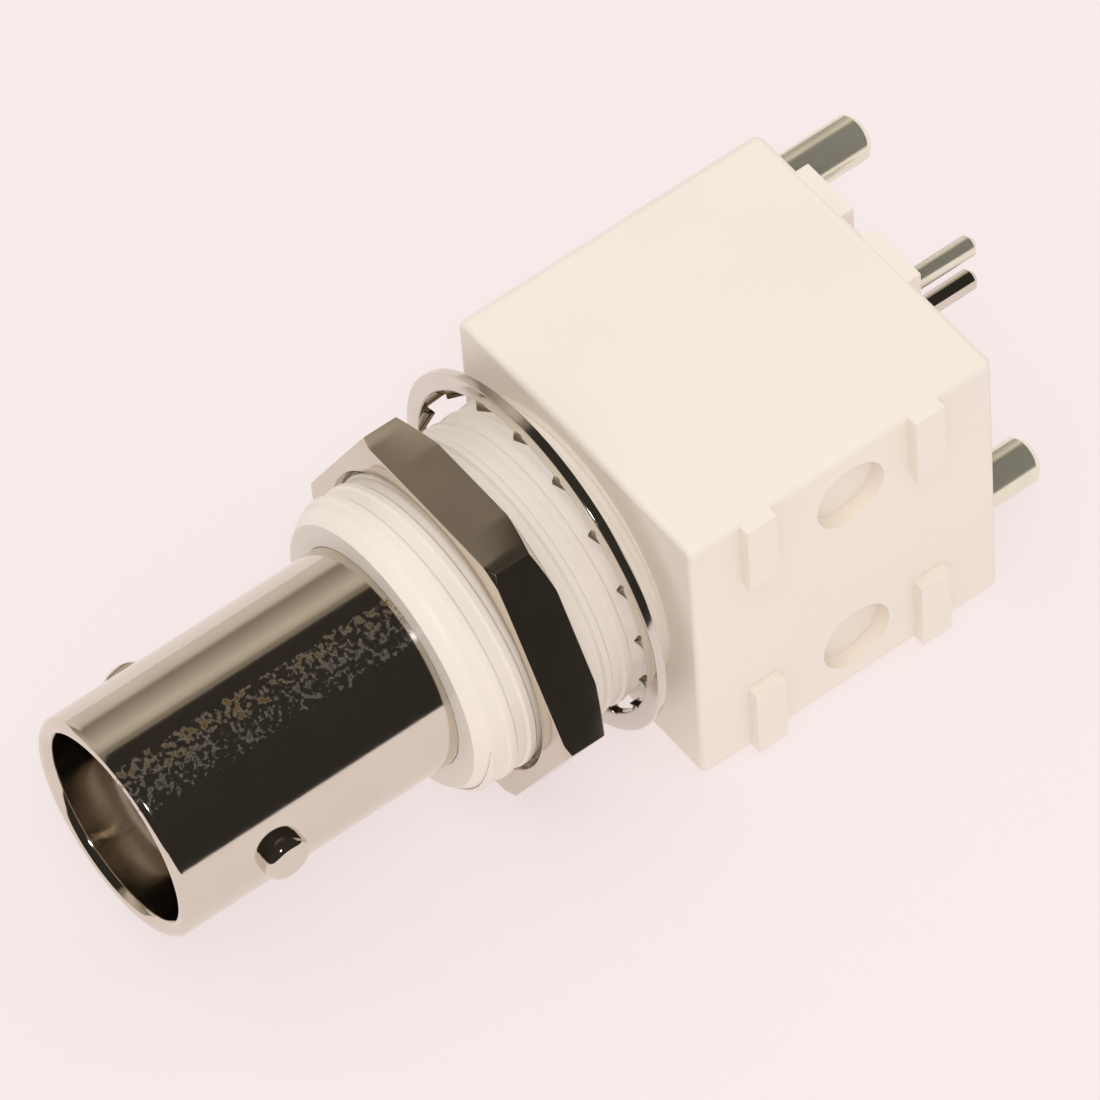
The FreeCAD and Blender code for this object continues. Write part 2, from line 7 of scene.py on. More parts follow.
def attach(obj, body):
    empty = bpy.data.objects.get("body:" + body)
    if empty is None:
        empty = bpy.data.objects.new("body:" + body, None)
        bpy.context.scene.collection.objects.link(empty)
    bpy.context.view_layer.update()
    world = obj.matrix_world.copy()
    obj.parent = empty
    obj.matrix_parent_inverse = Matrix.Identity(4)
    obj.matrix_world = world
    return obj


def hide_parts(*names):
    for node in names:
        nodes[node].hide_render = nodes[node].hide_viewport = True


# %% [markdown]
# # BNC socket for a circuit board
# The part is a coaxial socket: a plated barrel with two bayonet lugs, a moulded white block
# with a threaded bushing, a thin nut, a loose lock washer, two posts and two solder pins.
# It could be modelled here from nothing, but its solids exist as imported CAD, so they are
# loaded as a frame and each piece is finished where the frame has it.
#
# +Y is the connector's axis towards the board, +Z is up as the part lies, and the origin is
# on the axis, on the plane of the rear feet. Blender works in metres: MM turns millimetres
# into metres. A station is a distance in mm behind the mouth's rim, and BOARD is the
# station of the plane of the feet.

# %% Frame
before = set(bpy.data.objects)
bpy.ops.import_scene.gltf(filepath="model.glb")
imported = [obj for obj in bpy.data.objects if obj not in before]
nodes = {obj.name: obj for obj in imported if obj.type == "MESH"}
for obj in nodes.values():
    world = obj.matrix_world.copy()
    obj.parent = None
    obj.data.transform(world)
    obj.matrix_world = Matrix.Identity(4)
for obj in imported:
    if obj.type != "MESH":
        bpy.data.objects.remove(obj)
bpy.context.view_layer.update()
MM = 0.001
BOARD = 36.5


print("nodes:", ", ".join(sorted(nodes)))

# %% [markdown]
# ## Helpers for node trees
# Every finish is a node tree, and so are the thread and the washer. Nodes could be added and
# wired one line at a time, but the wiring is then hard to follow. Three helpers keep it
# short: one adds a node with its settings and values, one adds a colour ramp from a list of
# stops, and one makes the links of a tree in one go.

# %% Node helpers
def add_node(tree, kind, values=None, **settings):
    """A new node. Settings are such as operation, values go to its inputs by name or place."""
    node = tree.nodes.new(kind)
    for setting, choice in settings.items():
        setattr(node, setting, choice)
    for socket, value in (values or {}).items():
        node.inputs[socket].default_value = value
    return node


def add_ramp(tree, stops):
    """A colour ramp with a stop for each (position, colour)."""
    node = tree.nodes.new("ShaderNodeValToRGB")
    elements = node.color_ramp.elements
    first, *middle, last = stops
    for element, (position, color) in zip(elements, (first, last)):
        element.position = position
        element.color = (*color, 1)
    for position, color in middle:
        elements.new(position).color = (*color, 1)
    return node


def connect(tree, *links):
    for source, target in links:
        tree.links.new(source, target)


# A Mix node that mixes colours keeps them in these sockets
MIX_SHARE, MIX_A, MIX_B, MIX_RESULT = 0, 6, 7, 2
print("node helpers ready")

# %% [markdown]
# ## Fine wear
# No real surface is quite even. Moulded plastic and plating are slightly cloudy, their gloss
# changes from place to place, and they are never perfectly flat. Painted images could show
# that, but they need an unwrapped mesh. Noise on object coordinates needs none and has a
# size in metres, so one shader group adds it to every finish, each with its own values:
# Variation changes the gloss, Bump the surface and Mottle the colour's brightness.

# %% Wear group sockets
wear = bpy.data.node_groups.new("fine_wear", "ShaderNodeTree")
for label, kind, value in (
    ("Scale", "NodeSocketFloat", 900.0), ("Roughness", "NodeSocketFloat", 0.3),
    ("Variation", "NodeSocketFloat", 0.1), ("Bump", "NodeSocketFloat", 0.1),
    ("Mottle", "NodeSocketFloat", 0.04), ("Color", "NodeSocketColor", (0.8, 0.8, 0.8, 1)),
):
    wear.interface.new_socket(label, in_out="INPUT", socket_type=kind).default_value = value
for label, kind in (
    ("Roughness", "NodeSocketFloat"), ("Normal", "NodeSocketVector"),
    ("Color", "NodeSocketColor"),
):
    wear.interface.new_socket(label, in_out="OUTPUT", socket_type=kind)
print("wear group:", len(wear.interface.items_tree), "sockets")

# %% Wear group nodes
BUMP_HEIGHT = 0.02 * MM
CLOUD_SHARE = 0.35   # the clouds of colour are larger than the grain
MIDDLE = 0.5         # noise runs from 0 to 1 about its middle
wear_in = add_node(wear, "NodeGroupInput")
wear_out = add_node(wear, "NodeGroupOutput")
where = add_node(wear, "ShaderNodeTexCoord")
grain = add_node(wear, "ShaderNodeTexNoise", {"Detail": 4})
grain_swing = add_node(wear, "ShaderNodeMath", {1: MIDDLE}, operation="SUBTRACT")
gloss = add_node(wear, "ShaderNodeMath", operation="MULTIPLY_ADD")
bump = add_node(wear, "ShaderNodeBump", {"Distance": BUMP_HEIGHT})
coarser = add_node(wear, "ShaderNodeMath", {1: CLOUD_SHARE}, operation="MULTIPLY")
clouds = add_node(wear, "ShaderNodeTexNoise", {"Detail": 3})
cloud_swing = add_node(wear, "ShaderNodeMath", {1: MIDDLE}, operation="SUBTRACT")
brightness = add_node(wear, "ShaderNodeMath", {2: 1.0}, operation="MULTIPLY_ADD")
shaded = add_node(wear, "ShaderNodeVectorMath", operation="SCALE")
connect(
    wear,
    (where.outputs["Object"], grain.inputs["Vector"]),
    (wear_in.outputs["Scale"], grain.inputs["Scale"]),
    (grain.outputs[0], grain_swing.inputs[0]),
    (grain_swing.outputs[0], gloss.inputs[0]),
    (wear_in.outputs["Variation"], gloss.inputs[1]),
    (wear_in.outputs["Roughness"], gloss.inputs[2]),
    (gloss.outputs[0], wear_out.inputs["Roughness"]),
    (grain.outputs[0], bump.inputs["Height"]),
    (wear_in.outputs["Bump"], bump.inputs["Strength"]),
    (bump.outputs[0], wear_out.inputs["Normal"]),
    (where.outputs["Object"], clouds.inputs["Vector"]),
    (wear_in.outputs["Scale"], coarser.inputs[0]),
    (coarser.outputs[0], clouds.inputs["Scale"]),
    (clouds.outputs[0], cloud_swing.inputs[0]),
    (cloud_swing.outputs[0], brightness.inputs[0]),
    (wear_in.outputs["Mottle"], brightness.inputs[1]),
    (wear_in.outputs["Color"], shaded.inputs[0]),
    (brightness.outputs[0], shaded.inputs["Scale"]),
    (shaded.outputs[0], wear_out.inputs["Color"]),
)
print("wear group:", len(wear.nodes), "nodes,", len(wear.links), "links")

# %% [markdown]
# ## Plastics and plating
# The block is a satin white moulding, warm in tone. The insulators are a natural white
# plastic, painted greyer and darker as painted shade, for they sit deep in the mouth. Barrel,
# lugs, contact, nut and washer are nickel-plated, which is yellower than chrome and mirrors
# the room. Posts and earth pin are tin-plated and softer. Each could have a tree of its own,
# but they differ only in numbers, so one function makes them all: a Principled BSDF behind
# the wear group.

# %% Finishes
def finish(name, color, metallic, roughness, variation, bump, scale, mottle, **special):
    material = bpy.data.materials.new(name)
    material.use_nodes = True
    tree = material.node_tree
    shader = tree.nodes["Principled BSDF"]
    shader.inputs["Metallic"].default_value = metallic
    for label, value in special.items():
        shader.inputs[label.replace("_", " ")].default_value = value
    group = add_node(tree, "ShaderNodeGroup", node_tree=wear)
    for label, value in (
        ("Scale", scale), ("Roughness", roughness), ("Variation", variation), ("Bump", bump),
        ("Mottle", mottle), ("Color", (*color, 1)),
    ):
        group.inputs[label].default_value = value
    connect(
        tree,
        (group.outputs["Color"], shader.inputs["Base Color"]),
        (group.outputs["Roughness"], shader.inputs["Roughness"]),
        (group.outputs["Normal"], shader.inputs["Normal"]),
    )
    return material


white = finish("moulded_white", (0.90, 0.825, 0.73), metallic=0, roughness=0.36,
               variation=0.1, bump=0.12, scale=500, mottle=0.05, IOR=1.48)
white_plug = finish("moulded_white_plug", (0.80, 0.75, 0.68), metallic=0, roughness=0.5,
                    variation=0.1, bump=0.1, scale=700, mottle=0.05)
# Painted shade: the insulators' white is darkened here for the shade deep in the mouth
shaded_insulator = finish("insulator_painted_shade", (0.66, 0.62, 0.56), metallic=0, roughness=0.42,
                 variation=0.1, bump=0.05, scale=700, mottle=0.06)
nickel, spotted = (
    finish(name, (0.72, 0.66, 0.57), metallic=1, roughness=0.09,
           variation=0.05, bump=0.04, scale=1400, mottle=0.12)
    for name in ("bright_nickel", "spotted_nickel")
)
nut_nickel = finish("nut_nickel", (0.66, 0.59, 0.50), metallic=1, roughness=0.12,
                    variation=0.06, bump=0.06, scale=1100, mottle=0.16)
washer_nickel = finish("washer_nickel", (0.70, 0.65, 0.58), metallic=1, roughness=0.12,
                       variation=0.06, bump=0.05, scale=1200, mottle=0.12)
tin = finish("satin_tin", (0.88, 0.85, 0.70), metallic=0.8, roughness=0.2,
             variation=0.08, bump=0.08, scale=1300, mottle=0.25)
print("finishes:", len(bpy.data.materials))

# %% [markdown]
# ## Painted flecks in the barrel's dark reflection
# Along one side the barrel mirrors a dark band, and small golden and grey flecks show in it.
# They are painted reflection: golden where that band is brown, grey where it is black. The
# spots could be modelled or painted, but they have no thickness and no plan. So a fine noise
# makes them and two masks hold them in place: the angle round the axis, and larger patches
# that make some stretches denser. The share runs over half a turn, from 0 below the barrel to
# 1 above it on the same side, and golden spots lie below grey ones.

# %% Fleck masks
SPECK_SCALE, PATCH_SCALE = 4800, 1300
reflection_flecks = spotted.node_tree
where = add_node(reflection_flecks, "ShaderNodeTexCoord")
split = add_node(reflection_flecks, "ShaderNodeSeparateXYZ")
angle = add_node(reflection_flecks, "ShaderNodeMath", operation="ARCTAN2")
half_turn = add_node(reflection_flecks, "ShaderNodeMath", {1: 1 / math.pi, 2: MIDDLE},
                     operation="MULTIPLY_ADD")
band = add_ramp(reflection_flecks, [
    (position, (level, level, level)) for position, level in (
        (0.0, 0), (0.53, 0), (0.56, 1), (0.61, 0.97), (0.69, 0.88), (0.75, 0), (1.0, 0))
])
patches = add_node(reflection_flecks, "ShaderNodeTexNoise", {"Scale": PATCH_SCALE})
patch_share = add_node(reflection_flecks, "ShaderNodeMapRange", {
    "From Min": 0.38, "From Max": 0.62, "To Min": 0.93, "To Max": 1.08})
uneven = add_node(reflection_flecks, "ShaderNodeMath", operation="MULTIPLY")
connect(
    reflection_flecks,
    (where.outputs["Object"], split.inputs[0]),
    (split.outputs["X"], angle.inputs[0]), (split.outputs["Z"], angle.inputs[1]),
    (angle.outputs[0], half_turn.inputs[0]), (half_turn.outputs[0], band.inputs[0]),
    (where.outputs["Object"], patches.inputs["Vector"]),
    (patches.outputs[0], patch_share.inputs["Value"]),
    (band.outputs[0], uneven.inputs[0]), (patch_share.outputs[0], uneven.inputs[1]),
)
print("tarnish masks:", len(reflection_flecks.nodes), "nodes so far")

# %% Fleck spots
# Painted reflection: the flecks' golden and grey copy the brown and black of the mirrored band
GOLDEN, GREY = (0.22, 0.13, 0.03), (0.05, 0.055, 0.06)
METALLIC_DROP = -0.45
specks = add_node(reflection_flecks, "ShaderNodeTexNoise", {"Scale": SPECK_SCALE, "Detail": 3})
speck_level = add_node(reflection_flecks, "ShaderNodeMath", operation="MULTIPLY")
speck_share = add_node(reflection_flecks, "ShaderNodeMapRange", {"From Min": 0.485, "From Max": 0.66})
speck_color = add_ramp(reflection_flecks, [(0.60, GOLDEN), (0.64, GREY)])
tint = add_node(reflection_flecks, "ShaderNodeMix", data_type="RGBA")
metal = add_node(reflection_flecks, "ShaderNodeMath", {1: METALLIC_DROP, 2: 1.0},
                 operation="MULTIPLY_ADD")
shader = reflection_flecks.nodes["Principled BSDF"]
plain = shader.inputs["Base Color"].links[0].from_socket
connect(
    reflection_flecks,
    (where.outputs["Object"], specks.inputs["Vector"]),
    (uneven.outputs[0], speck_level.inputs[0]), (specks.outputs[0], speck_level.inputs[1]),
    (speck_level.outputs[0], speck_share.inputs["Value"]),
    (half_turn.outputs[0], speck_color.inputs[0]),
    (speck_share.outputs[0], tint.inputs[MIX_SHARE]),
    (plain, tint.inputs[MIX_A]), (speck_color.outputs[0], tint.inputs[MIX_B]),
    (tint.outputs[MIX_RESULT], shader.inputs["Base Color"]),
    (speck_share.outputs[0], metal.inputs[0]),
    (metal.outputs[0], shader.inputs["Metallic"]),
)
print("tarnish:", len(reflection_flecks.nodes), "nodes")

# %% [markdown]
# ## Painted shade on the washer's teeth
# The washer's rim is bright, and its small twisted teeth sit in shade next to the bushing,
# which is painted on them as dark brown. They could have a material of their own, but teeth
# and rim are one stamped piece. A mask by distance from the washer's centre paints that shade
# on the inside and leaves the rim, so one material does.

# %% Washer mask
# Painted shade: the dark brown that the mask puts on the teeth stands for shade, not for their
# metal
TOOTH_SHADE_BROWN = (0.20, 0.16, 0.11, 1)
DARK_TO, BRIGHT_FROM = 7.0 * MM, 7.2 * MM
LIFT = 0.45
toothed = washer_nickel.node_tree
where = add_node(toothed, "ShaderNodeTexCoord")
flatten = add_node(toothed, "ShaderNodeVectorMath", {1: (1, 0, 1), 2: (0, 0, -LIFT * MM)},
                   operation="MULTIPLY_ADD")
reach = add_node(toothed, "ShaderNodeVectorMath", operation="LENGTH")
rim_share = add_node(toothed, "ShaderNodeMapRange",
                     {"From Min": DARK_TO, "From Max": BRIGHT_FROM})
tint = add_node(toothed, "ShaderNodeMix", {MIX_A: TOOTH_SHADE_BROWN}, data_type="RGBA")
shader = toothed.nodes["Principled BSDF"]
plain = shader.inputs["Base Color"].links[0].from_socket
connect(
    toothed,
    (where.outputs["Object"], flatten.inputs[0]), (flatten.outputs[0], reach.inputs[0]),
    (reach.outputs["Value"], rim_share.inputs["Value"]),
    (rim_share.outputs[0], tint.inputs[MIX_SHARE]), (plain, tint.inputs[MIX_B]),
    (tint.outputs[MIX_RESULT], shader.inputs["Base Color"]),
)
print("washer mask:", len(toothed.nodes), "nodes")

# %% [markdown]
# ## Thread on the bushing
# The front of the moulding is a bushing with a right-handed half-inch thread of 0.907 mm
# pitch, worn soft by the moulding. A thread could be a bump or a stack of rings, but rings
# don't climb and a bump leaves the outline smooth. A thread follows a rule, so Geometry
# Nodes make it: a spiral along the bushing carries a trapezoid profile, which fades out at
# both ends.

# %% Thread tree sockets
thread_tree = bpy.data.node_groups.new("helical_thread", "GeometryNodeTree")
thread_sockets = {}
for label, kind in (
    ("Radius", "NodeSocketFloat"), ("Turns", "NodeSocketFloat"), ("Length", "NodeSocketFloat"),
    ("Height", "NodeSocketFloat"), ("Crest width", "NodeSocketFloat"),
    ("Root width", "NodeSocketFloat"), ("Plastic", "NodeSocketMaterial"),
):
    socket = thread_tree.interface.new_socket(label, in_out="INPUT", socket_type=kind)
    thread_sockets[label] = socket.identifier
thread_tree.interface.new_socket("Thread", in_out="OUTPUT", socket_type="NodeSocketGeometry")
print("thread inputs:", ", ".join(thread_sockets))

# %% Thread tree nodes
QUARTER_TURN = math.pi / 2
POINTS_A_TURN = 96
THIN_END = 0.1
thread_in = add_node(thread_tree, "NodeGroupInput")
thread_out = add_node(thread_tree, "NodeGroupOutput")
# Reverse makes the spiral right-handed
spiral = add_node(thread_tree, "GeometryNodeCurveSpiral",
                  {"Resolution": POINTS_A_TURN, "Reverse": True})
upright = add_node(thread_tree, "GeometryNodeSetCurveNormal", mode="Z_UP")
profile = add_node(thread_tree, "GeometryNodeCurvePrimitiveQuadrilateral", mode="TRAPEZOID")
profile.inputs["Offset"].default_value = 0
face_out = add_node(thread_tree, "GeometryNodeTransform", {"Rotation": (0, 0, -QUARTER_TURN)})
along = add_node(thread_tree, "GeometryNodeSplineParameter")
fade = add_node(thread_tree, "ShaderNodeFloatCurve")
curve = fade.mapping.curves[0]
curve.points[0].location = (0, THIN_END)
curve.points[1].location = (1, THIN_END)
curve.points.new(0.06, 1)
curve.points.new(0.97, 1)
fade.mapping.update()
sweep = add_node(thread_tree, "GeometryNodeCurveToMesh", {"Fill Caps": True})
lay = add_node(thread_tree, "GeometryNodeTransform", {"Rotation": (-QUARTER_TURN, 0, 0)})
realize = add_node(thread_tree, "GeometryNodeRealizeInstances")
paint = add_node(thread_tree, "GeometryNodeSetMaterial")
print("thread tree:", len(thread_tree.nodes), "nodes")

# %% Thread tree links
connect(
    thread_tree,
    (thread_in.outputs["Turns"], spiral.inputs["Rotations"]),
    (thread_in.outputs["Radius"], spiral.inputs["Start Radius"]),
    (thread_in.outputs["Radius"], spiral.inputs["End Radius"]),
    (thread_in.outputs["Length"], spiral.inputs["Height"]),
    (thread_in.outputs["Height"], profile.inputs["Height"]),
    (thread_in.outputs["Crest width"], profile.inputs["Top Width"]),
    (thread_in.outputs["Root width"], profile.inputs["Bottom Width"]),
    (spiral.outputs[0], upright.inputs["Curve"]),
    (upright.outputs[0], sweep.inputs["Curve"]),
    (profile.outputs[0], face_out.inputs["Geometry"]),
    (face_out.outputs[0], sweep.inputs["Profile Curve"]),
    (along.outputs["Factor"], fade.inputs["Value"]),
    (fade.outputs[0], sweep.inputs["Scale"]),
    (sweep.outputs[0], lay.inputs["Geometry"]),
    (lay.outputs[0], realize.inputs[0]),
    (realize.outputs[0], paint.inputs["Geometry"]),
    (thread_in.outputs["Plastic"], paint.inputs["Material"]),
    (paint.outputs[0], thread_out.inputs[0]),
)
print("thread tree:", len(thread_tree.links), "links")

# %% Thread mesh
PITCH, TURNS, THREAD_FRONT = 0.907, 9, 13.25


def from_tree(obj, tree, inputs):
    """The plain mesh that a node tree makes on an object, which is then removed."""
    modifier = obj.modifiers.new("tree", "NODES")
    modifier.node_group = tree
    for identifier, value in inputs.items():
        modifier[identifier] = value
    bpy.context.scene.collection.objects.link(obj)
    bpy.context.view_layer.update()
    evaluated = obj.evaluated_get(bpy.context.evaluated_depsgraph_get())
    mesh = bpy.data.meshes.new_from_object(evaluated)
    bpy.data.objects.remove(obj)
    return mesh


def shifted(mesh, x, y, z):
    """The same mesh, moved by millimetres."""
    mesh.transform(Matrix.Translation(Vector((x, y, z)) * MM))
    return mesh


thread_sizes = {
    "Radius": 6.2 * MM, "Turns": float(TURNS), "Length": TURNS * PITCH * MM,
    "Height": 0.3 * MM, "Crest width": 0.24 * MM, "Root width": 0.9 * MM, "Plastic": white,
}
carrier = bpy.data.objects.new("thread_build", bpy.data.meshes.new("thread_start"))
thread_mesh = shifted(
    from_tree(carrier, thread_tree,
              {thread_sockets[label]: value for label, value in thread_sizes.items()}),
    0, THREAD_FRONT - BOARD, 0,
)
print("thread:", len(thread_mesh.polygons), "faces")

# %% [markdown]
# ## From meshes to pieces
# A piece is a mesh at the origin, unturned and unscaled, that rides on the body and stands
# for its CAD node. Plates and turned parts could be shaded flat or fully smooth, and both
# look wrong: round faces need smooth shading and real edges a sharp break, so each piece is
# smooth up to a stated angle. A CAD node's own mesh is loose triangles and is left alone. A
# welded copy of it is finished.

# %% Piece helpers
def add_piece(name, mesh, replaced):
    mesh.name = name
    piece = bpy.data.objects.new(name, mesh)
    bpy.context.scene.collection.objects.link(piece)
    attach(piece, "root")
    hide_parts(replaced)
    print(f"{name}: {len(mesh.polygons)} faces")
    return piece


def smooth_below(mesh, angle):
    mesh.shade_smooth()
    mesh.set_sharp_from_angle(angle=math.radians(angle))


def finish_piece(name, mesh, replaced, material, angle=32):
    mesh.materials.clear()
    mesh.materials.append(material)
    smooth_below(mesh, angle)
    return add_piece(name, mesh, replaced)


def mesh_from(bm, name):
    bmesh.ops.recalc_face_normals(bm, faces=bm.faces)
    mesh = bpy.data.meshes.new(name)
    bm.to_mesh(mesh)
    bm.free()
    return mesh


WELD_REACH = 1e-7   # metres


def node_bmesh(name):
    """A welded copy of a CAD node's surface."""
    source = nodes[name]
    bm = bmesh.new()
    bm.from_mesh(source.data)
    bm.transform(source.matrix_world)
    bmesh.ops.remove_doubles(bm, verts=bm.verts, dist=WELD_REACH)
    return bm


print("piece helpers ready")

# %% [markdown]
# ## Housing and rear plug
# The housing is one white moulding: the block with its feet and blind recesses, and the
# bushing in front. A round plug closes it at the back. Both could be built again from boxes,
# but the CAD surface has every round and recess, so a copy of it is kept. The bushing's skin
# shrinks to the thread's root, and the thread's ridge is laid round it.
#
# The copy's large flat faces are long triangles, which smooth shading smears with grey
# wedges. So flat faces keep their own normal and the rounded edges blend into them.

# %% Squared normals
LEVEL_ENOUGH = 0.99999


def square_normals(piece, limit=35):
    """Give flat faces their own normal and let the rounded edges blend into them."""
    mesh = piece.data
    least = math.cos(math.radians(limit))
    normals = [polygon.normal.copy() for polygon in mesh.polygons]
    areas = [polygon.area for polygon in mesh.polygons]
    flat = [max(abs(part) for part in normal) > LEVEL_ENOUGH for normal in normals]
    touching = [[] for vertex in mesh.vertices]
    for polygon in mesh.polygons:
        for corner in polygon.vertices:
            touching[corner].append(polygon.index)
    custom = []
    for polygon in mesh.polygons:
        own = normals[polygon.index]
        for corner in polygon.vertices:
            near = [i for i in touching[corner] if normals[i].dot(own) > least]
            level = [i for i in near if flat[i]]
            if flat[polygon.index]:
                blend = own
            else:
                blend = sum((normals[i] * areas[i] for i in level or near), Vector())
            custom.append(blend.normalized() if blend.length > 0 else own)
    mesh.normals_split_custom_set(custom)
    print(f"{piece.name}: {sum(flat)} flat faces")


# %% Housing with its thread
BUSHING_FRONT, BLOCK_FRONT = 12.7, 21.6
SKIN_FROM, SKIN_TO = 5.3, 6.4            # radii between which the bushing's skin lies
ROOT, LEAD_RADIUS, LEAD_SLOPE = 6.25, 5.78, 0.8
BLEND = 0.25                             # the skin runs a little way into the block
bm = node_bmesh("housing")
for vert in bm.verts:
    station = vert.co.y / MM + BOARD
    radius = math.hypot(vert.co.x, vert.co.z) / MM
    if station < BLOCK_FRONT + BLEND and SKIN_FROM < radius < SKIN_TO:
        wanted = min(ROOT, LEAD_RADIUS + (station - BUSHING_FRONT) * LEAD_SLOPE)
        vert.co.x *= wanted / radius
        vert.co.z *= wanted / radius
bm.from_mesh(thread_mesh)
square_normals(finish_piece(
    "housing_moulding", mesh_from(bm, "housing"), "housing", white, angle=35))

# %% Rear plug
square_normals(finish_piece(
    "rear_plug", mesh_from(node_bmesh("back_cover"), "cover"), "back_cover",
    white_plug))

# %% [markdown]
# ## Barrel and bayonet lugs
# The barrel is a turned and plated tube with a shoulder inside and a flange at the back, and
# two round lugs are pressed in its wall for the plug's sleeve to catch. A cylinder with
# loops cut in it would do, but a turned part is one profile spun round its axis, so it is
# made that way. The profile's corners are rounded first: a bright edge catches the light
# only where it has some width.

# %% Turned parts
SOFTEST = 0.005   # mm, a corner with less room than this stays sharp
ROOM = 0.45       # the share of an edge that one corner may use
CLOSEST = 0.001   # mm, no rounded point comes nearer to the axis


def rounded(corners, radius, steps=4):
    """The same (radius, station) corners, each rounded off where there is room."""
    result = []
    count = len(corners)
    for i, corner in enumerate(corners):
        here = Vector(corner)
        before, after = Vector(corners[i - 1]), Vector(corners[(i + 1) % count])
        reach = min(radius, ROOM * (before - here).length, ROOM * (after - here).length)
        if here.x == 0 or reach < SOFTEST:
            result.append(tuple(here))
            continue
        start = here + (before - here).normalized() * reach
        end = here + (after - here).normalized() * reach
        for step in range(steps + 1):
            t = step / steps
            point = start * (1 - t) ** 2 + here * 2 * t * (1 - t) + end * t ** 2
            result.append((max(point.x, CLOSEST), point.y))
    return result


def lathe(bm, profile, segments, centre=(0, 0), about="Y"):
    """Turn a closed profile of (radius, station) in mm about Y, or about X for a lug."""
    rings = []
    for radius, station in profile:
        ring = []
        for i in range(segments if radius else 1):
            turn = 2 * math.pi * i / segments
            a, b = radius * math.cos(turn), radius * math.sin(turn)
            if about == "Y":
                point = (centre[0] + a, station - BOARD, centre[1] + b)
            else:
                point = (station, centre[0] - BOARD + a, centre[1] + b)
            ring.append(bm.verts.new(Vector(point) * MM))
        rings.append(ring)
    for lower, upper in zip(rings, rings[1:] + rings[:1]):
        if len(lower) == 1 and len(upper) == 1:
            continue
        for i in range(segments):
            corners = [lower[i % len(lower)], lower[(i + 1) % len(lower)],
                       upper[(i + 1) % len(upper)], upper[i % len(upper)]]
            bm.faces.new(list(dict.fromkeys(corners)))


print("turning helpers ready")

# %% Barrel
BARREL_OUT, FLANGE_OUT = 4.8, 5.2
MOUTH_IN, SHOULDER_IN, REAR_IN = 4.05, 3.3, 3.95
MOUTH_END, SHOULDER_END, FLANGE_FRONT, BARREL_END = 8.4, 10.4, 29.6, 31.2
RIM_IN, RIM_OUT, RIM_LEAD, RIM_CHAMFER = 4.28, 4.58, 0.25, 0.22
bm = bmesh.new()
lathe(bm, rounded([
    (REAR_IN, BARREL_END), (REAR_IN, SHOULDER_END), (SHOULDER_IN, SHOULDER_END),
    (SHOULDER_IN, MOUTH_END), (MOUTH_IN, MOUTH_END), (MOUTH_IN, RIM_LEAD), (RIM_IN, 0.0),
    (RIM_OUT, 0.0), (BARREL_OUT, RIM_CHAMFER), (BARREL_OUT, FLANGE_FRONT),
    (FLANGE_OUT, FLANGE_FRONT), (FLANGE_OUT, BARREL_END),
], radius=0.12), segments=192)
finish_piece("barrel_shell", mesh_from(bm, "barrel"), "barrel", spotted)

# %% Bayonet lugs
LUG_RADIUS, LUG_FOOT, LUG_TOP, LUG_STATION = 1.0, 4.1, 5.5, 4.4
lug_profile = rounded([
    (0, LUG_FOOT), (LUG_RADIUS, LUG_FOOT), (LUG_RADIUS, LUG_TOP), (0, LUG_TOP),
], radius=0.42, steps=8)
for node, side in (("lug_right", 1), ("lug_left", -1)):
    bm = bmesh.new()
    lathe(bm, [(radius, side * reach) for radius, reach in lug_profile],
          segments=64, centre=(LUG_STATION, 0), about="X")
    finish_piece(node + "_pin", mesh_from(bm, node), node, nickel, angle=60)

# %% [markdown]
# ## Insulators, contact and earth pin
# Inside the mouth a plastic nose holds a slotted socket contact, whose tail leaves the block
# as the signal pin, and a strap on the barrel's flange ends in the earth pin. They could be
# turned again like the barrel, but they lie deep in the dark mouth or inside the block, and
# only their pins stand free. Their CAD surfaces already have the slots and steps, so welded
# copies with smooth round faces are enough.

# %% Inner pieces
for node, name, slot, material in (
    ("front_insulator", "front_insulator_body", "insulator_plastic", shaded_insulator),
    ("rear_insulator", "rear_insulator_body", "insulator_plastic", shaded_insulator),
    ("centre_contact", "signal_contact", "contact_plating", nickel),
    ("earth_strap", "earth_contact", "pin_plating", tin),
):
    finish_piece(name, mesh_from(node_bmesh(node), name), node, material)

# %% [markdown]
# ## Mounting posts
# Two solid round bars hold the block to the board at opposite corners. The CAD bars would do
# for their shape, but their few facets can show as corners against the pale floor. So each
# is turned again with 72 segments, with a small chamfer that is rounded at its edges.

# %% Posts
POST_RADIUS, POST_FRONT, POST_END, POST_CHAMFER, POST_OFFSET = 1.0, 29.0, 39.9, 0.3, 5.08
chamfered = POST_RADIUS - POST_CHAMFER
post_profile = rounded([
    (0, POST_FRONT), (chamfered, POST_FRONT), (POST_RADIUS, POST_FRONT + POST_CHAMFER),
    (POST_RADIUS, POST_END - POST_CHAMFER), (chamfered, POST_END), (0, POST_END),
], radius=0.08, steps=3)
for node, side in (("upper_post", -1), ("lower_post", 1)):
    bm = bmesh.new()
    lathe(bm, post_profile, segments=72, centre=(side * POST_OFFSET, -side * POST_OFFSET))
    finish_piece(node + "_bar", mesh_from(bm, node), node, tin, angle=40)

# %% [markdown]
# ## Panel nut
# A thin hexagon nut clamps the socket in a panel. Its corners are turned off at 30 degrees on
# both faces, which leaves the curved edges that every such nut has. A hexagon with a bevel
# can't show them, and a cut with a cone leaves edges that need cleaning. So the nut is
# built direction by direction: each outline runs over the face, down the chamfer to the
# flat at that angle, and back through the bore, and the curves come out exact.

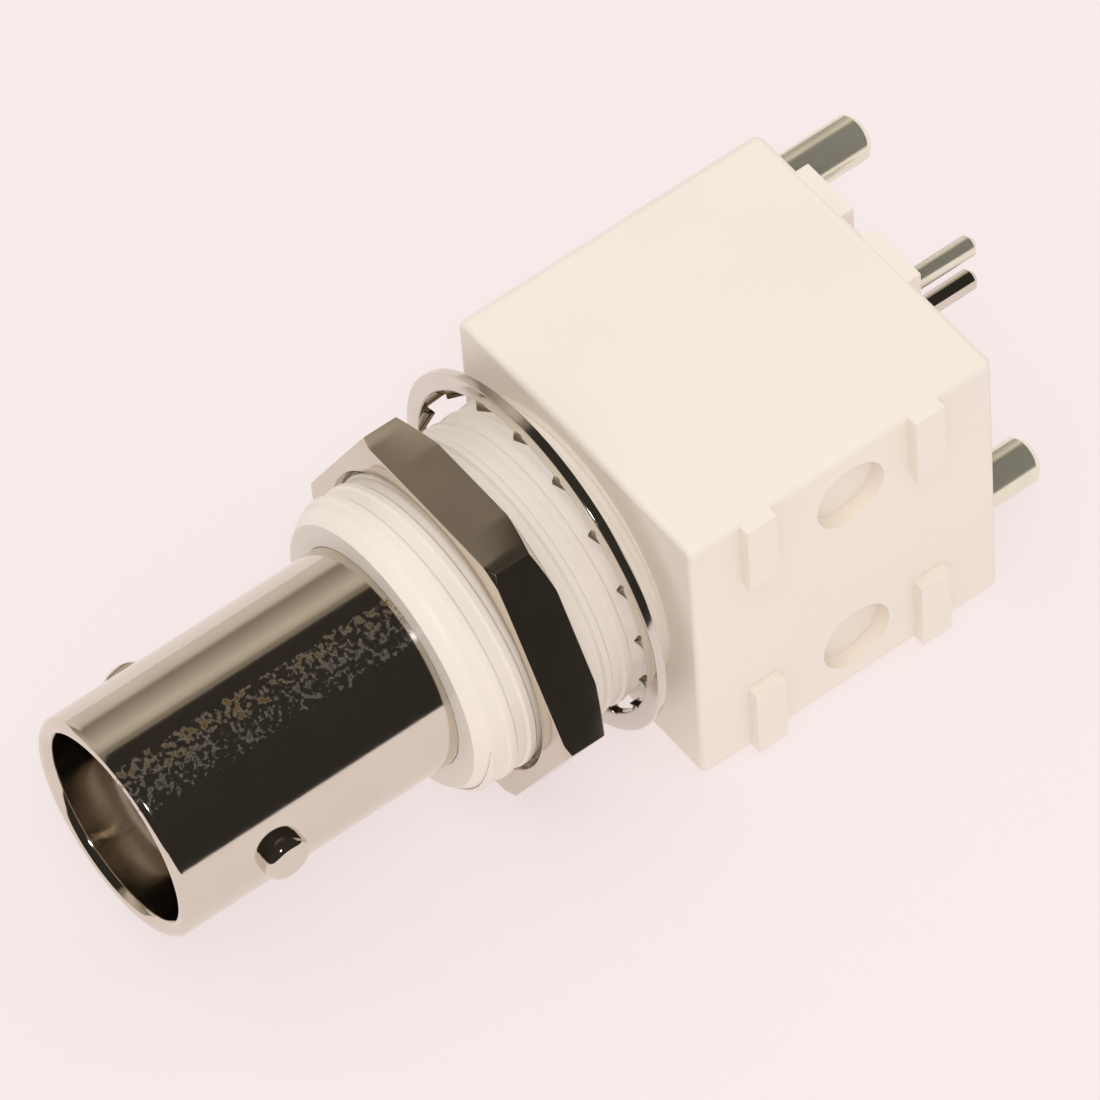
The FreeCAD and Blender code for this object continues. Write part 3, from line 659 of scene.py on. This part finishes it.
# %% Nut outline
NUT_FRONT, NUT_REAR, FLAT = 15.3, 17.5, 7.15
FRONT_CIRCLE, REAR_CIRCLE = 7.95, 7.4       # radii of the flat rounds on its two faces
BORE, BORE_MOUTH, BORE_CHAMFER = 6.42, 6.6, 0.25
LEAST_CHAMFER, SOFT, ACROSS, DOWN = 0.06, 0.05, 0.02, 0.012
CHAMFER_SLOPE = math.tan(math.radians(30))
SIXTH = math.pi / 3


def hexagon_radius(turn):
    """Distance from the axis to the hexagon's side, with a corner at 0 degrees."""
    return FLAT / math.cos(turn % SIXTH - SIXTH / 2)


def nut_outline(turn):
    radius = hexagon_radius(turn)
    front = min(FRONT_CIRCLE, radius - LEAST_CHAMFER)
    rear = min(REAR_CIRCLE, radius - LEAST_CHAMFER)
    front_corner = NUT_FRONT + (radius - front) * CHAMFER_SLOPE
    rear_corner = NUT_REAR - (radius - rear) * CHAMFER_SLOPE
    return [
        (BORE, NUT_FRONT + BORE_CHAMFER), (BORE_MOUTH, NUT_FRONT),
        (front - SOFT, NUT_FRONT), (front + ACROSS, NUT_FRONT + DOWN),
        (radius - ACROSS, front_corner - DOWN), (radius, front_corner + SOFT),
        (radius, rear_corner - SOFT), (radius - ACROSS, rear_corner + DOWN),
        (rear + ACROSS, NUT_REAR - DOWN), (rear - SOFT, NUT_REAR),
        (BORE_MOUTH, NUT_REAR), (BORE, NUT_REAR - BORE_CHAMFER),
    ]


print("nut: mm across corners", round(2 * hexagon_radius(0), 2))

# %% Hexagon nut
DIRECTIONS = 360
bm = bmesh.new()
rings = []
for i in range(DIRECTIONS):
    turn = 2 * math.pi * i / DIRECTIONS
    rings.append([
        bm.verts.new(Vector((r * math.cos(turn), station - BOARD, r * math.sin(turn))) * MM)
        for r, station in nut_outline(turn)
    ])
for ring, following in zip(rings, rings[1:] + rings[:1]):
    for j in range(len(ring)):
        k = (j + 1) % len(ring)
        bm.faces.new((ring[j], ring[k], following[k], following[j]))
finish_piece("panel_nut", mesh_from(bm, "nut"), "hex_nut", nut_nickel, angle=24)

# %% [markdown]
# ## Lock washer
# The washer is stamped from thin metal, with eighteen small teeth on its inside that are
# twisted to bite. It hangs loose on the bushing, a little off centre. The teeth could be
# copied by hand or by an array, but an array needs a second object to turn about. Geometry
# Nodes set one tooth at each place round the rim, from a count that can be changed, so the
# tooth and the rim are made once and a tree joins them.

# %% Tooth
RING_IN, RING_OUT, TIP, TEETH = 7.1, 7.9, 6.82, 18
WASHER_MIDDLE = 20.05
bm = bmesh.new()
slices = []
for height, twist, wide, thick in (
    (RING_IN + 0.3, 0, 0.56, 0.17), (RING_IN + 0.02, 5, 0.55, 0.17),
    ((RING_IN + TIP) / 2, 18, 0.53, 0.16), (TIP, 30, 0.5, 0.16),
):
    turned = Matrix.Rotation(math.radians(twist), 3, "Z")
    slices.append([
        bm.verts.new((turned @ Vector((side * wide, face * thick, height))) * MM)
        for side, face in ((-1, -1), (1, -1), (1, 1), (-1, 1))
    ])
for lower, upper in zip(slices, slices[1:]):
    for i in range(4):
        j = (i + 1) % 4
        bm.faces.new((lower[i], lower[j], upper[j], upper[i]))
bm.faces.new(slices[0])
bm.faces.new(slices[-1][::-1])
bmesh.ops.bevel(bm, geom=bm.edges[:], offset=0.04 * MM, segments=2, affect="EDGES")
tooth = bpy.data.objects.new("tooth_master", mesh_from(bm, "tooth"))
smooth_below(tooth.data, angle=40)
print("tooth:", len(tooth.data.polygons), "faces")

# %% Rim
HALF_THICK = 0.2
bm = bmesh.new()
rim_profile = rounded([
    (RING_IN, -HALF_THICK), (RING_OUT, -HALF_THICK), (RING_OUT, HALF_THICK),
    (RING_IN, HALF_THICK),
], radius=0.07)
lathe(bm, [(radius, station + BOARD) for radius, station in rim_profile], segments=192)
rim = bpy.data.objects.new("washer_build", mesh_from(bm, "rim"))
smooth_below(rim.data, angle=40)
print("rim:", len(rim.data.polygons), "faces")

# %% Washer tree
washer_tree = bpy.data.node_groups.new("toothed_washer", "GeometryNodeTree")
washer_sockets = {}
for label, kind in (
    ("Rim", "NodeSocketGeometry"), ("Tooth", "NodeSocketObject"), ("Teeth", "NodeSocketInt"),
    ("Metal", "NodeSocketMaterial"),
):
    socket = washer_tree.interface.new_socket(label, in_out="INPUT", socket_type=kind)
    washer_sockets[label] = socket.identifier
washer_tree.interface.new_socket("Washer", in_out="OUTPUT", socket_type="NodeSocketGeometry")
washer_in = add_node(washer_tree, "NodeGroupInput")
washer_out = add_node(washer_tree, "NodeGroupOutput")
places = add_node(washer_tree, "GeometryNodeMeshLine", {"Offset": (0, 0, 0)})
index = add_node(washer_tree, "GeometryNodeInputIndex")
step_angle = add_node(washer_tree, "ShaderNodeMath", {0: 2 * math.pi}, operation="DIVIDE")
tooth_angle = add_node(washer_tree, "ShaderNodeMath", operation="MULTIPLY")
about_y = add_node(washer_tree, "ShaderNodeCombineXYZ")
tooth_info = add_node(washer_tree, "GeometryNodeObjectInfo")
set_teeth = add_node(washer_tree, "GeometryNodeInstanceOnPoints")
join = add_node(washer_tree, "GeometryNodeJoinGeometry")
realize = add_node(washer_tree, "GeometryNodeRealizeInstances")
paint = add_node(washer_tree, "GeometryNodeSetMaterial")
connect(
    washer_tree,
    (washer_in.outputs["Teeth"], places.inputs["Count"]),
    (washer_in.outputs["Teeth"], step_angle.inputs[1]),
    (index.outputs[0], tooth_angle.inputs[0]),
    (step_angle.outputs[0], tooth_angle.inputs[1]),
    (tooth_angle.outputs[0], about_y.inputs["Y"]),
    (washer_in.outputs["Tooth"], tooth_info.inputs["Object"]),
    (places.outputs[0], set_teeth.inputs["Points"]),
    (tooth_info.outputs["Geometry"], set_teeth.inputs["Instance"]),
    (about_y.outputs[0], set_teeth.inputs["Rotation"]),
    (washer_in.outputs["Rim"], join.inputs[0]), (set_teeth.outputs[0], join.inputs[0]),
    (join.outputs[0], realize.inputs[0]),
    (realize.outputs[0], paint.inputs["Geometry"]),
    (washer_in.outputs["Metal"], paint.inputs["Material"]),
    (paint.outputs[0], washer_out.inputs[0]),
)
print("washer tree:", len(washer_tree.nodes), "nodes")

# %% Washer
washer_mesh = from_tree(rim, washer_tree, {
    washer_sockets["Tooth"]: tooth, washer_sockets["Teeth"]: TEETH,
    washer_sockets["Metal"]: washer_nickel,
})
bpy.data.objects.remove(tooth)
add_piece("tooth_washer", shifted(washer_mesh, 0, WASHER_MIDDLE - BOARD, LIFT),
          "lock_washer")

# %% [markdown]
# ## Floor
# The part lies on pale pinkish paper, lit so strongly that it throws hardly any shadow. A
# brighter lamp would burn the white block out as well, so the paper glows a little by
# itself, which thins the shadows. One large sheet would do for the picture, but it would
# show in the metal as a wide pale band that the photo doesn't have. So the metal mirrors a
# small sheet only, and a large one just below it fills the picture.

# %% Floor sheets
FLOOR_LEVEL, SHEET_GAP = -7.46, 0.02
paper = finish("pale_floor", (0.30, 0.275, 0.275), metallic=0, roughness=0.7, variation=0,
               bump=0, scale=10, mottle=0, Emission_Color=(0.93, 0.835, 0.83, 1),
               Emission_Strength=0.675)


def floor_sheet(name, left, right, near, far, level):
    mesh = bpy.data.meshes.new(name)
    corners = [(left, near, level), (right, near, level), (right, far, level), (left, far, level)]
    mesh.from_pydata([Vector(corner) * MM for corner in corners], [], [(0, 1, 2, 3)])
    mesh.materials.append(paper)
    sheet = bpy.data.objects.new(name, mesh)
    bpy.context.scene.collection.objects.link(sheet)
    print(f"{name}: {right - left} by {far - near} mm")
    return sheet


floor_sheet("near_floor", -150, 48, -110, 75, FLOOR_LEVEL)
wide_sheet = floor_sheet("far_floor", -700, 700, -700, 700, FLOOR_LEVEL - SHEET_GAP)
wide_sheet.visible_glossy = False

# %% [markdown]
# ## Surround
# Nickel shows what stands round it: here a bright side, a brown middle tone and a black
# side, which give the barrel and the nut their bands. Cards and lamps could stand there, but
# each band's place would be a guess. A ramp over the X direction gives the metal the bands
# where the photo has them. The white plastic would pick up their brown, so only mirrored
# rays see the ramp, and all others see an even light that is stronger from above.

# %% Surround for mirrored rays
world = bpy.data.worlds.new("surround")
bpy.context.scene.world = world
world.use_nodes = True
surround = world.node_tree
ray = add_node(surround, "ShaderNodeLightPath")
direction = add_node(surround, "ShaderNodeTexCoord")
split = add_node(surround, "ShaderNodeSeparateXYZ")
sideways = add_node(surround, "ShaderNodeMath", {1: 0.5, 2: 0.5}, operation="MULTIPLY_ADD")
bands = add_ramp(surround, [
    (0.0, (0.8, 0.75, 0.7)), (0.03, (0.62, 0.56, 0.50)), (0.045, (0.26, 0.22, 0.18)),
    (0.08, (0.36, 0.31, 0.26)), (0.17, (0.62, 0.54, 0.46)), (0.215, (0.5, 0.44, 0.37)),
    (0.235, (0.26, 0.22, 0.18)), (0.262, (0.23, 0.20, 0.16)), (0.275, (0.03, 0.025, 0.02)),
    (1.0, (0.03, 0.026, 0.022)),
])
connect(
    surround,
    (direction.outputs["Generated"], split.inputs[0]),
    (split.outputs["X"], sideways.inputs[0]), (sideways.outputs[0], bands.inputs[0]),
)
print("bands:", len(bands.color_ramp.elements))

# %% Surround for all other rays
EVEN, FROM_ABOVE, FROM_BEHIND = 0.62, 0.36, -0.08
above = add_node(surround, "ShaderNodeMath", {1: FROM_ABOVE, 2: EVEN},
                 operation="MULTIPLY_ADD")
behind = add_node(surround, "ShaderNodeMath", {1: FROM_BEHIND}, operation="MULTIPLY_ADD")
daylight = add_node(surround, "ShaderNodeVectorMath", {0: (1.0, 0.98, 0.97)},
                    operation="SCALE")
choice = add_node(surround, "ShaderNodeMix", data_type="RGBA")
background = surround.nodes["Background"]
background.inputs["Strength"].default_value = 1.0
connect(
    surround,
    (split.outputs["Z"], above.inputs[0]),
    (split.outputs["Y"], behind.inputs[0]), (above.outputs[0], behind.inputs[2]),
    (behind.outputs[0], daylight.inputs["Scale"]),
    (ray.outputs["Is Glossy Ray"], choice.inputs[MIX_SHARE]),
    (daylight.outputs[0], choice.inputs[MIX_A]), (bands.outputs[0], choice.inputs[MIX_B]),
    (choice.outputs[MIX_RESULT], background.inputs["Color"]),
)
print("surround:", len(surround.nodes), "nodes")

# %% [markdown]
# ## Lamps
# The light looks like a flash beside the lens, in a warm room. One lamp could light it all,
# but the block's top is warmer than its side, and the rim has small violet glints. So a
# wide warm key lamp lights the top, a small bluish flash near the camera makes the glints
# and is the only lamp that the metal mirrors, and a weak cool lamp lifts the side.

# %% Lamps
def soft_lamp(name, place, aim, size, power, color, in_metal=False):
    """A square lamp at a place in mm, turned to a point, its size in metres."""
    data = bpy.data.lights.new(name, "AREA")
    data.energy = power
    data.color = color
    data.size = size
    lamp = bpy.data.objects.new(name, data)
    bpy.context.scene.collection.objects.link(lamp)
    lamp.location = Vector(place) * MM
    ray_down = (Vector(aim) - Vector(place)).normalized()
    lamp.rotation_euler = ray_down.to_track_quat("-Z", "Y").to_euler()
    lamp.visible_glossy = in_metal
    print(f"{name}: {power} W")


soft_lamp("key_lamp", (110, -60, 280), (0, -15, 0), size=0.12, power=0.118,
          color=(1, 0.935, 0.81))
soft_lamp("flash", (205, -140, 330), (0, -20, 0), size=0.03, power=0.16,
          color=(0.92, 0.88, 1), in_metal=True)
soft_lamp("fill_lamp", (220, -60, 90), (0, -15, -5), size=0.2, power=0.018,
          color=(0.8, 0.93, 1))

# %% [markdown]
# ## Camera
# The camera stands where the photo was taken from. It could be placed by eye, but then every
# size read from the picture would be off. It was fitted instead, together with the part's
# sizes, to edges measured in the photo, and its place, direction and long lens come from
# that fit.

# %% Camera
CAMERA_PLACE = (202.1, -150.1, 326.6)
LENS, SENSOR = 350.3, 36
back = Vector((0.4966, -0.330, 0.8028)).normalized()
rough_up = Vector((-0.6218, 0.5101, 0.5944))
up = (rough_up - back * rough_up.dot(back)).normalized()
right = up.cross(back)
camera_data = bpy.data.cameras.new("camera")
camera_data.sensor_width = SENSOR
camera_data.lens = LENS
camera_data.clip_start, camera_data.clip_end = 0.01, 5
camera = bpy.data.objects.new("camera", camera_data)
bpy.context.scene.collection.objects.link(camera)
turned = Matrix((right, up, back)).transposed().to_4x4()
camera.matrix_world = Matrix.Translation(Vector(CAMERA_PLACE) * MM) @ turned
bpy.context.scene.camera = camera
bpy.context.scene.view_settings.view_transform = "Standard"
print("camera: lens", LENS, "mm,", round(Vector(CAMERA_PLACE).length), "mm from the origin")
